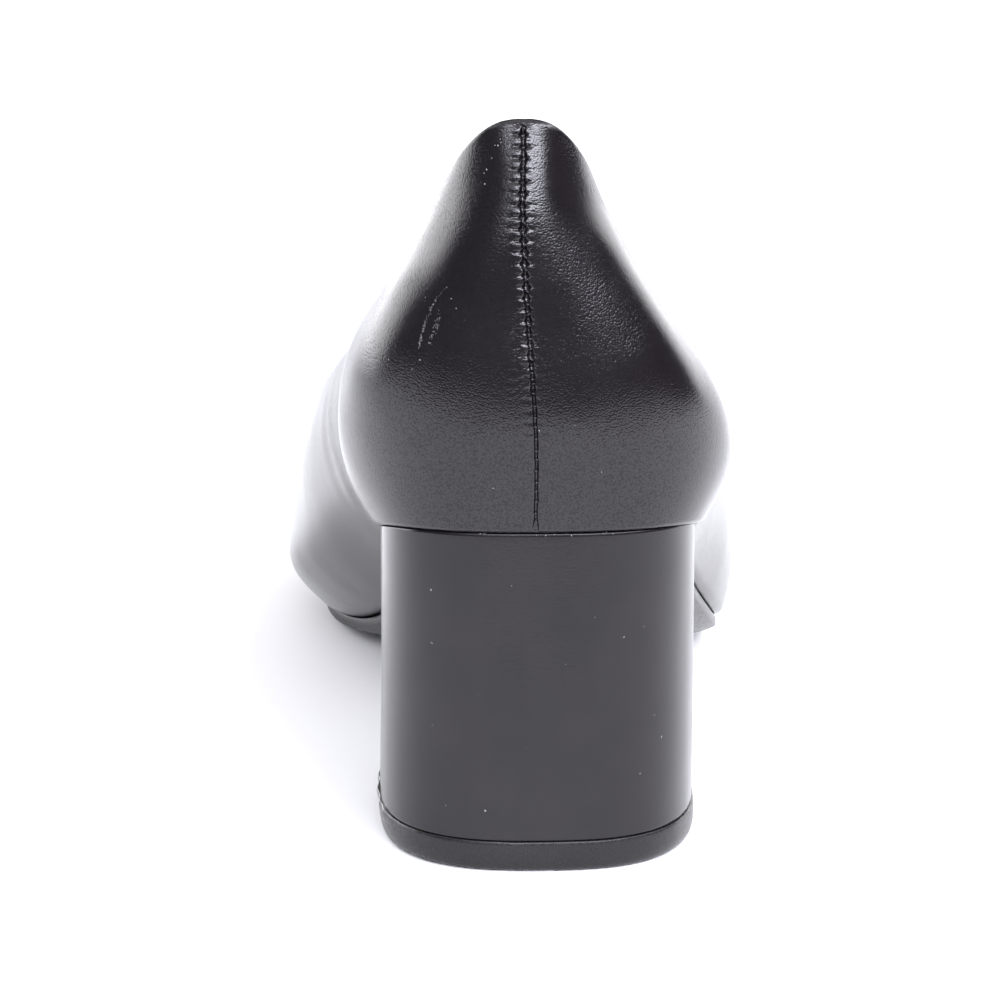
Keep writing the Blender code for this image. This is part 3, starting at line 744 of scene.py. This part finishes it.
def back_point(d, z):
    """Place and outward direction on the back of the heel cup, d mm round from the middle rib at height z."""
    best = None
    for u in (d, d + 0.35):
        line = rib(u % ROUND, ROW_STEPS * 4)[0]
        upper = line[len(line) // 8:]
        x, y = np.interp(z, upper[:, 2], upper[:, 0]), np.interp(z, upper[:, 2], upper[:, 1])
        best = np.array([x, y, z]) if best is None else (best, np.array([x, y, z]))
    first, second = best
    along = second - first
    normal = np.array([along[1], -along[0], 0.0])
    return first, normal / np.linalg.norm(normal)


def raised(place):
    """How far the finished leather of the heel cup stands out from the last at a place, apart from the seam, mm."""
    place = place[None]
    away = edge_distance(place)
    return float((soft_folds(place) * smooth(0.5, 6, away) + back_fullness(place, away))[0])


def build_stitches(material):
    """Thread that shows in the back seam: short bridges across the open groove, no more than dots lower down."""
    parts = []
    count = int((SEAM_TOP_Z - 56.5) / STITCH_PITCH)
    for k in range(count):
        z = SEAM_TOP_Z - (k + 0.5 + 0.10 * math.sin(4.3 * k)) * STITCH_PITCH
        up = float(smooth(66, 100, z))
        aside = float(seam_aside(z)) + 0.06 * math.sin(2.9 * k)
        reach = 0.17 + 0.19 * up
        radius = 0.12 - 0.01 * up
        tilt = 0.20 * math.sin(2.1 * k) * up
        path = []
        for t in np.linspace(-1, 1, 9):
            place, normal = back_point(aside + t * reach, z + tilt * t + 0.20 * (1 - t * t) * up)
            height = 0.0 + 0.03 * up - (0.16 + 0.20 * up) * abs(t) ** 2.5
            path.append(place + normal * (height + raised(place)))
        parts.append(tube(path, radius))
    # thread ends knotted into the top of the seam
    for low, half, shift in ((0.30, 0.60, -0.10), (1.05, 0.45, 0.15)):
        path = []
        for t in np.linspace(-1, 1, 11):
            place, normal = back_point(half * t + shift, SEAM_TOP_Z - low - 0.25)
            path.append(place + normal * (-0.30 + 0.22 * math.cos(t * 1.5)) + np.array([0, 0, 0.36 + 0.16 * math.cos(t * 1.4)]))
        parts.append(tube(path, 0.17))
    points, faces = joined(parts)
    return new_piece("back_seam_thread", points, faces, material, sharp=0)


def cup_surface(d, z):
    """Place and outward direction on the finished leather of the heel cup."""
    place, normal = back_point(d, z)
    return place + normal * (seam_relief(place[None])[0] + raised(place)), normal


def block_surface(x, z):
    """Place and outward direction on the back of the heel block."""
    level = column(HEEL, HEEL_COLUMNS, "level")
    values = np.array([row[1:] for row in HEEL], float)
    top = float(bottom_z(4.0)[0]) - 0.1
    share = min(1.0, max(0.0, (top - z) / (top - TOP_PIECE_THICK)))
    plan = ring(*spline_at(level, values, knot_slopes(level, values), share)[0][0])
    back = plan[plan[:, 1] < 30]
    back = back[np.argsort(back[:, 0])]
    back[:, 1] += corner_ease(back)
    first, second = (np.array([x + s, np.interp(x + s, back[:, 0], back[:, 1]), z]) for s in (-0.15, 0.15))
    normal = np.array([second[1] - first[1], first[0] - second[0], 0.0])
    return (first + second) / 2, normal / np.linalg.norm(normal)


def flake(d, z, length, width, lean, rng, lift=0.045, surface=cup_surface):
    """A thin closed flake lying on the heel cup or on the block."""
    steps = max(3, int(length / 0.3))
    left, right = [], []
    for s in np.linspace(-0.5, 0.5, steps + 1):
        w = width * (1 - (2 * s) ** 2) ** 0.5 * (0.7 + 0.6 * rng.random()) + 0.02
        dz, dd = length * s * math.cos(lean), length * s * math.sin(lean)
        for side, store in ((-1, left), (1, right)):
            place, normal = surface(d + dd + side * w / 2 * math.cos(lean), z + dz - side * w / 2 * math.sin(lean))
            store.append(place + normal * lift)
    n = len(left)
    low = [p - np.array([0, -0.09, 0]) for p in left + right]
    points = left + right + low
    faces = []
    for i in range(n - 1):
        a, b, c, e = i, i + 1, n + i + 1, n + i
        faces += [(a, e, c, b), (a + 2 * n, b + 2 * n, c + 2 * n, e + 2 * n),
                  (a, b, b + 2 * n, a + 2 * n), (e, e + 2 * n, c + 2 * n, c)]
    faces += [(0, 2 * n, 3 * n, n), (n - 1, 2 * n - 1, 4 * n - 1, 3 * n - 1)]
    return points, faces


def build_scuffs(material):
    """Two light scuffs on the medial side of the heel cup: only the tops of the grain are rubbed, in broken rows."""
    rng = np.random.default_rng(7)
    parts = []
    for line, count, spread in ((((-17.1, 94.8), (-18.3, 93.2), (-19.2, 90.5), (-20.0, 87.2), (-20.0, 85.4)), 80, 0.26),
                                (((-17.6, 92.2), (-17.2, 90.8), (-17.4, 88.6), (-18.0, 87.0), (-18.1, 86.0)), 48, 0.32)):
        line = np.array(line)
        run = np.concatenate([[0], np.cumsum(np.hypot(*np.diff(line, axis=0).T))])
        for t in np.sort(rng.random(count)) ** 0.75:
            d, z = (np.interp(t * run[-1], run, line[:, k]) for k in (0, 1))
            size = (0.05 + 0.10 * rng.random()) * (0.5 + 0.7 * t)
            parts.append(flake(d + spread * rng.normal() * 0.7, z + 0.1 * rng.normal(), size * (1.2 + rng.random()), size, 0.45 + 0.5 * rng.normal(), rng))
    points, faces = joined(parts)
    return new_piece("scuff_marks", points, faces, material, sharp=0)


def build_dust(material):
    """Specks of light dust on the heel cup and along the joint under it, and nicks in the block's lacquer."""
    rng = np.random.default_rng(11)
    parts = []
    for d, z, size in ((-8.2, 118.2, 0.20), (-9.0, 117.2, 0.30), (-8.0, 117.7, 0.20), (-10.0, 117.2, 0.18), (-11.0, 115.2, 0.17), (-12.5, 113.4, 0.26),
                       (-13.2, 112.8, 0.24), (-12.7, 111.2, 0.24), (-15.5, 93.4, 0.20), (-14.2, 92.0, 0.15), (-20.5, 93.0, 0.13), (-16.8, 95.0, 0.13),
                       (-25.8, 82.6, 0.12), (-19.8, 83.4, 0.18), (-21.2, 81.8, 0.14), (0.1, 73.2, 0.18), (5.6, 74.0, 0.10), (-7.4, 63.5, 0.13), (9.5, 66.0, 0.10)):
        parts.append(flake(d, z, size * (1.0 + 0.5 * rng.random()), size * 0.8, 1.5 * rng.normal(), rng))
    for x, z, length, width, lean in ((15.3, 45.1, 0.75, 0.10, 0.1), (13.7, 38.0, 0.55, 0.10, 0.9), (-16.9, 36.6, 0.60, 0.12, -0.9), (-4.3, 47.0, 0.22, 0.16, 0.4),
                                      (6.8, 12.6, 0.55, 0.12, 0.6), (20.1, 20.3, 0.60, 0.10, 0.2), (18.8, 24.3, 0.20, 0.14, 0.0), (-16.9, 23.0, 0.20, 0.12, -0.4),
                                      (-14.8, 10.2, 0.20, 0.12, 0.3), (17.0, 39.3, 0.18, 0.10, 0.5), (4.3, 34.1, 0.14, 0.10, 0.0), (-9.6, 29.0, 0.12, 0.09, 0.0),
                                      (9.0, 41.6, 0.12, 0.09, 0.3), (-2.0, 20.4, 0.12, 0.09, 0.8), (11.2, 17.6, 0.12, 0.09, 0.1), (-12.4, 43.5, 0.12, 0.08, 0.6)):
        parts.append(flake(x, z, 0.7 * length, 0.55 * width, lean, rng, 0.012, block_surface))
    joint = float(bottom_z(4.0)[0]) - 0.1
    for x in np.concatenate([rng.normal(-8.5, 1.6, 5), rng.normal(3.0, 2.5, 6), rng.normal(11.5, 1.2, 4)]):
        size = 0.04 + 0.08 * rng.random() ** 2
        parts.append(flake(x, joint - 0.08 - 0.35 * rng.random() ** 2, size * (1.2 + rng.random()), size, 1.57 + 0.5 * rng.normal(), rng, 0.012, block_surface))
    points, faces = joined(parts)
    return new_piece("dust_specks", points, faces, material, sharp=0)


# ------------------------------------------------------------------ materials


class Nodes:
    """Short hand for building one material's nodes."""

    def __init__(self, name):
        self.material = bpy.data.materials.new(name)
        self.material.use_nodes = True
        self.tree = self.material.node_tree
        self.shader = self.tree.nodes["Principled BSDF"]
        self.coords = self.tree.nodes.new("ShaderNodeTexCoord").outputs["Object"]

    def add(self, kind, inputs=None, **settings):
        node = self.tree.nodes.new(kind)
        for key, value in settings.items():
            setattr(node, key, value)
        for key, value in (inputs or {}).items():
            if isinstance(value, bpy.types.NodeSocket):
                self.tree.links.new(value, node.inputs[key])
            else:
                node.inputs[key].default_value = value
        return node

    def scaled(self, scale):
        return self.add("ShaderNodeMapping", {"Vector": self.coords, "Scale": scale}).outputs[0]

    def noise(self, scale, detail=2.0, rough=0.5, vector=None, distortion=0.0):
        return self.add("ShaderNodeTexNoise", {"Vector": vector or self.coords, "Scale": scale, "Detail": detail, "Roughness": rough, "Distortion": distortion}).outputs["Fac"]

    def range(self, value, a, b, c, d, kind="LINEAR"):
        return self.add("ShaderNodeMapRange", {"Value": value, "From Min": a, "From Max": b, "To Min": c, "To Max": d}, interpolation_type=kind).outputs[0]

    def math(self, operation, a, b=0.0, clamp=False):
        node = self.add("ShaderNodeMath", operation=operation, use_clamp=clamp)
        for k, value in enumerate((a, b)):
            if isinstance(value, bpy.types.NodeSocket):
                self.tree.links.new(value, node.inputs[k])
            else:
                node.inputs[k].default_value = value
        return node.outputs[0]

    def mix(self, factor, a, b):
        node = self.add("ShaderNodeMix", data_type="RGBA")
        for key, value in ((0, factor), (6, a), (7, b)):
            if isinstance(value, bpy.types.NodeSocket):
                self.tree.links.new(value, node.inputs[key])
            else:
                node.inputs[key].default_value = (*value, 1.0) if isinstance(value, tuple) else value
        return node.outputs[2]

    def bump(self, height, strength, distance, normal=None):
        inputs = {"Height": height, "Strength": strength, "Distance": distance}
        if normal is not None:
            inputs["Normal"] = normal
        return self.add("ShaderNodeBump", inputs).outputs[0]

    def set(self, **values):
        for key, value in values.items():
            socket = self.shader.inputs[key.replace("_", " ")]
            if isinstance(value, bpy.types.NodeSocket):
                self.tree.links.new(value, socket)
            else:
                socket.default_value = (*value, 1.0) if isinstance(value, tuple) else value
        return self.material


def leather_material():
    """Smooth black leather with a fine pebbled grain."""
    n = Nodes("black_leather")
    cells = n.add("ShaderNodeTexVoronoi", {"Vector": n.coords, "Scale": 3200.0, "Randomness": 1.0}, feature="F1").outputs["Distance"]
    fine = n.noise(4200.0, 1.0, 0.5)
    cloud = n.noise(60.0, 3.0, 0.5)
    patchy = n.range(n.noise(110.0, 2.0, 0.5), 0.35, 0.65, 0.7, 1.0)
    domes = n.math("MULTIPLY", cells, cells)
    grain = n.math("SUBTRACT", n.math("MULTIPLY", fine, 0.25), domes)
    colour = n.mix(n.range(cloud, 0.3, 0.7, 0.0, 1.0), (0.0044, 0.0035, 0.0048), (0.0056, 0.0045, 0.0060))
    rough = n.math("ADD", n.range(cloud, 0.3, 0.7, -0.02, 0.02), n.range(fine, 0.3, 0.7, 0.13, 0.18))
    shine = n.range(domes, 0.05, 0.5, 0.58, 0.36)
    return n.set(Base_Color=colour, Roughness=rough, IOR=1.50, Specular_IOR_Level=shine, Coat_Weight=0.0,
                 Normal=n.bump(n.math("MULTIPLY", grain, patchy), 1.0, 0.000032))


def lining_material(name, light, dark, rough):
    n = Nodes(name)
    cells = n.add("ShaderNodeTexVoronoi", {"Vector": n.coords, "Scale": 1100.0}, feature="F1").outputs["Distance"]
    fine = n.noise(1800.0, 3.0, 0.6)
    cloud = n.noise(45.0, 4.0, 0.55)
    colour = n.mix(n.range(cloud, 0.3, 0.7, 0.0, 1.0), dark, light)
    height = n.math("ADD", cells, fine)
    return n.set(Base_Color=colour, Roughness=n.range(cloud, 0.3, 0.7, rough - 0.06, rough + 0.08), IOR=1.45, Normal=n.bump(height, 0.3, 0.00005))


def heel_material():
    n = Nodes("heel_lacquer")
    cloud = n.noise(70.0, 4.0, 0.6)
    streak = n.noise(1.0, 2.0, 0.5, n.scaled((260.0, 260.0, 30.0)))
    specks = n.add("ShaderNodeTexVoronoi", {"Vector": n.coords, "Scale": 240.0}, feature="F1")
    dots = n.math("MULTIPLY", n.range(specks.outputs["Distance"], 0.03, 0.055, 1.0, 0.0),
                  n.math("GREATER_THAN", n.add("ShaderNodeSeparateColor", {"Color": specks.outputs["Color"]}).outputs[0], 0.93))
    colour = n.mix(n.range(cloud, 0.3, 0.7, 0.0, 1.0), (0.0038, 0.0032, 0.0042), (0.0100, 0.0084, 0.0096))
    colour = n.mix(n.math("MULTIPLY", dots, 0.35), colour, (0.45, 0.44, 0.42))
    rough = n.math("ADD", n.range(cloud, 0.3, 0.7, 0.15, 0.22), n.range(streak, 0.3, 0.7, -0.02, 0.02))
    height = n.math("ADD", n.noise(3000.0, 2.0, 0.55), n.math("MULTIPLY", n.noise(1.0, 2.0, 0.5, n.scaled((120.0, 120.0, 900.0))), 0.5))
    return n.set(Base_Color=colour, Roughness=rough, IOR=1.43, Coat_Weight=0.0, Normal=n.bump(height, 0.5, 0.00003))


def rubber_material(name, low, high, rough, scale, shine, painted_side_sheen=None):
    """Dark rubber; the last argument, where given, paints a sheen across the sole: its reflection is turned down on the
    inner side as painted shade and up on the outer side as painted highlight.
    """
    n = Nodes(name)
    cloud = n.noise(90.0, 4.0, 0.6)
    fine = n.noise(scale, 4.0, 0.65)
    colour = n.mix(n.range(cloud, 0.3, 0.7, 0.0, 1.0), low, high)
    gloss = {}
    if painted_side_sheen:
        across = n.add("ShaderNodeSeparateXYZ", {"Vector": n.coords}).outputs["X"]
        # painted shade and painted highlight: specular level lowered on the inner (medial) side and raised on the outer
        # side, along x
        gloss["Specular_IOR_Level"] = n.range(across, -0.030, 0.015, *painted_side_sheen)
    return n.set(Base_Color=colour, Roughness=n.range(fine, 0.3, 0.7, rough - 0.07, rough + 0.09), IOR=shine, Normal=n.bump(fine, 0.25, 0.00006), **gloss)


def thread_material():
    n = Nodes("black_thread")
    twist = n.add("ShaderNodeTexWave", {"Vector": n.scaled((1.0, 1.0, 1.0)), "Scale": 900.0, "Distortion": 1.0}, bands_direction="DIAGONAL").outputs["Fac"]
    colour = n.mix(twist, (0.010, 0.010, 0.011), (0.028, 0.028, 0.030))
    return n.set(Base_Color=colour, Roughness=n.range(twist, 0.0, 1.0, 0.30, 0.45), IOR=1.5, Normal=n.bump(twist, 0.4, 0.00004))


def scuff_material():
    n = Nodes("scuffed_leather")
    patch = n.noise(1400.0, 3.0, 0.6)
    colour = n.mix(n.range(patch, 0.42, 0.58, 0.0, 1.0), (0.03, 0.03, 0.03), (0.20, 0.19, 0.185))
    return n.set(Base_Color=colour, Roughness=n.range(patch, 0.3, 0.7, 0.6, 0.8), Normal=n.bump(patch, 0.3, 0.00004))


def dust_material():
    n = Nodes("dust")
    patch = n.noise(1700.0, 2.0, 0.6)
    colour = n.mix(n.range(patch, 0.35, 0.65, 0.0, 1.0), (0.22, 0.215, 0.21), (0.46, 0.45, 0.44))
    return n.set(Base_Color=colour, Roughness=n.range(patch, 0.3, 0.7, 0.6, 0.8), Normal=n.bump(patch, 0.3, 0.00004))


# ------------------------------------------------------------------ studio


WEDGES = (   # from, to (degrees), softness, strength
    (-181.0, -150.0, 4.0, 5.3), (-150.0, -106.0, 4.0, 4.8), (126.0, 150.0, 4.0, 3.5), (150.0, 181.0, 4.0, 4.0),
    (-106.0, -60.0, 6.0, 0.20), (60.0, 126.0, 6.0, 0.13), (-60.0, 60.0, 25.0, 0.32),
)
WINDOW = (-64.0, 10.0, 30.0, 86.0)   # bearings where it starts, is full, fades and ends
WINDOW_HEIGHT = (0.26, 0.42, 0.54, 0.68)   # heights (share of 1) where it starts, is full, fades and ends
WINDOW_LEAN = 260.0   # degrees by which its right side leans over its height
WINDOW_POWER = 16.5
LAMPS = (    # name, place, size, power
    ("top_front", (0.0, -0.25, 0.8), (1.4, 0.9), 6.0), ("top_right", (0.9, 0.1, 0.8), (0.8, 1.4), 11.0),
    ("top_left", (-0.9, 0.1, 0.8), (0.8, 1.4), 6.0),
)
WINDOW_COLOUR = (0.96, 0.963, 1.07, 1)
FLOOR_GLOW = 0.0


def build_floor():
    mesh = bpy.data.meshes.new("floor")
    corners = [(-3.0, -0.46, -0.0002), (3.0, -0.46, -0.0002), (3.0, 4.0, -0.0002), (-3.0, 4.0, -0.0002)]
    mesh.from_pydata(corners, [], [(0, 1, 2, 3)])
    material = bpy.data.materials.new("floor")
    material.use_nodes = True
    shader = material.node_tree.nodes["Principled BSDF"]
    shader.inputs["Base Color"].default_value = (0.9, 0.9, 0.9, 1)
    shader.inputs["Roughness"].default_value = 0.9
    shader.inputs["Specular IOR Level"].default_value = 0.1
    shader.inputs["Emission Color"].default_value = (1, 1, 1, 1)
    shader.inputs["Emission Strength"].default_value = FLOOR_GLOW
    mesh.materials.append(material)
    obj = bpy.data.objects.new("floor", mesh)
    bpy.context.scene.collection.objects.link(obj)


def build_world():
    """A bright white ground behind the shoe, dark sides, and a window on the side of the camera."""
    world = bpy.data.worlds.new("studio")
    world.use_nodes = True
    bpy.context.scene.world = world
    tree = world.node_tree
    tree.nodes.clear()
    new, link = tree.nodes.new, tree.links.new
    direction = new("ShaderNodeTexCoord").outputs["Generated"]
    parts = new("ShaderNodeSeparateXYZ")
    link(direction, parts.inputs[0])

    def math_node(operation, a, b=0.0):
        node = new("ShaderNodeMath")
        node.operation = operation
        for k, value in enumerate((a, b)):
            if isinstance(value, bpy.types.NodeSocket):
                link(value, node.inputs[k])
            else:
                node.inputs[k].default_value = value
        return node.outputs[0]

    def ramp(value, low, high, full=1.0):
        node = new("ShaderNodeMapRange")
        node.interpolation_type = "SMOOTHSTEP"
        link(value, node.inputs["Value"])
        node.inputs["From Min"].default_value = low
        node.inputs["From Max"].default_value = high
        node.inputs["To Max"].default_value = full
        return node.outputs[0]

    around = math_node("MULTIPLY", math_node("ARCTAN2", parts.outputs["X"], math_node("MULTIPLY", parts.outputs["Y"], -1.0)), 180 / math.pi)

    def wedge(start, end, soft, full, low=0.30, high=0.45):
        """Light between two bearings, in degrees from the camera's side towards +x, up to a low height."""
        inside = math_node("MULTIPLY", ramp(around, start - soft, start + soft), math_node("SUBTRACT", 1.0, ramp(around, end - soft, end + soft)))
        return math_node("MULTIPLY", math_node("MULTIPLY", inside, math_node("SUBTRACT", 1.0, ramp(parts.outputs["Z"], low, high))), full)

    def total(pieces):
        light = pieces[0]
        for piece in pieces[1:]:
            light = math_node("ADD", light, piece)
        return light

    seen = new("ShaderNodeLightPath").outputs["Is Camera Ray"]
    unseen = math_node("SUBTRACT", 1.0, seen)
    ground = math_node("ADD", math_node("MULTIPLY", total([wedge(*w) for w in WEDGES]), unseen), math_node("MULTIPLY", seen, 1.2))
    window = math_node("MULTIPLY", unseen, WINDOW_POWER)
    height = parts.outputs["Z"]
    leaning = math_node("ADD", around, math_node("MULTIPLY", math_node("SUBTRACT", WINDOW_HEIGHT[1], height), WINDOW_LEAN))
    for left, right, (start, full, fading, end) in ((around, leaning, WINDOW), (height, height, WINDOW_HEIGHT)):
        window = math_node("MULTIPLY", window, math_node("MULTIPLY", ramp(left, start, full), math_node("SUBTRACT", 1.0, ramp(right, fading, end))))
    shaders = []
    for colour, strength in (((0.98, 0.976, 1.0, 1), ground), (WINDOW_COLOUR, window)):
        background = new("ShaderNodeBackground")
        background.inputs["Color"].default_value = colour
        link(strength, background.inputs["Strength"])
        shaders.append(background.outputs[0])
    both = new("ShaderNodeAddShader")
    link(shaders[0], both.inputs[0])
    link(shaders[1], both.inputs[1])
    output = new("ShaderNodeOutputWorld")
    link(both.outputs[0], output.inputs["Surface"])


def build_lamp(name, place, aim, size, power, colour=(1, 1, 1)):
    data = bpy.data.lights.new(name, "AREA")
    data.shape = "RECTANGLE"
    data.size, data.size_y = size
    data.energy = power
    data.color = colour
    obj = bpy.data.objects.new(name, data)
    obj.location = place
    obj.rotation_euler = (Vector(aim) - Vector(place)).to_track_quat("-Z", "Y").to_euler()
    bpy.context.scene.collection.objects.link(obj)


def build_camera():
    """The photograph's place: behind the heel, a little above it and to the inner side."""
    place = to_metres([(-30.0, -800.0, 249.0)])[0]
    yaw, pitch = math.radians(1.7), math.radians(13.15)
    ahead = Vector((math.sin(yaw) * math.cos(pitch), math.cos(yaw) * math.cos(pitch), -math.sin(pitch)))
    data = bpy.data.cameras.new("camera")
    data.sensor_width = 36.0
    data.lens = 36.0 * 5.219
    data.clip_start, data.clip_end = 0.01, 50.0
    obj = bpy.data.objects.new("camera", data)
    obj.location = place
    obj.rotation_euler = ahead.to_track_quat("-Z", "Y").to_euler()
    bpy.context.scene.collection.objects.link(obj)
    bpy.context.scene.camera = obj


build_camera()
leather = leather_material()
build_upper(leather)
build_lining(lining_material("lining_leather", (0.50, 0.40, 0.30), (0.43, 0.335, 0.245), 0.55))
build_sock(lining_material("sock_leather", (0.53, 0.43, 0.325), (0.47, 0.37, 0.275), 0.5))
build_outsole(rubber_material("outsole_rubber", (0.008, 0.0075, 0.0075), (0.012, 0.0115, 0.0115), 0.30, 1500.0, 1.45, (0.12, 0.75)))
build_heel(heel_material())
build_top_piece(rubber_material("top_piece_rubber", (0.0065, 0.0062, 0.0068), (0.010, 0.0096, 0.010), 0.28, 1300.0, 1.40))
build_stitches(thread_material())
build_scuffs(scuff_material())
build_dust(dust_material())
build_floor()
build_world()
for name, place, size, power in LAMPS:
    build_lamp(name, place, (place[0], place[1], 0.0), size, power, (0.98, 0.976, 1.0))
bpy.context.scene.view_settings.view_transform = "Standard"
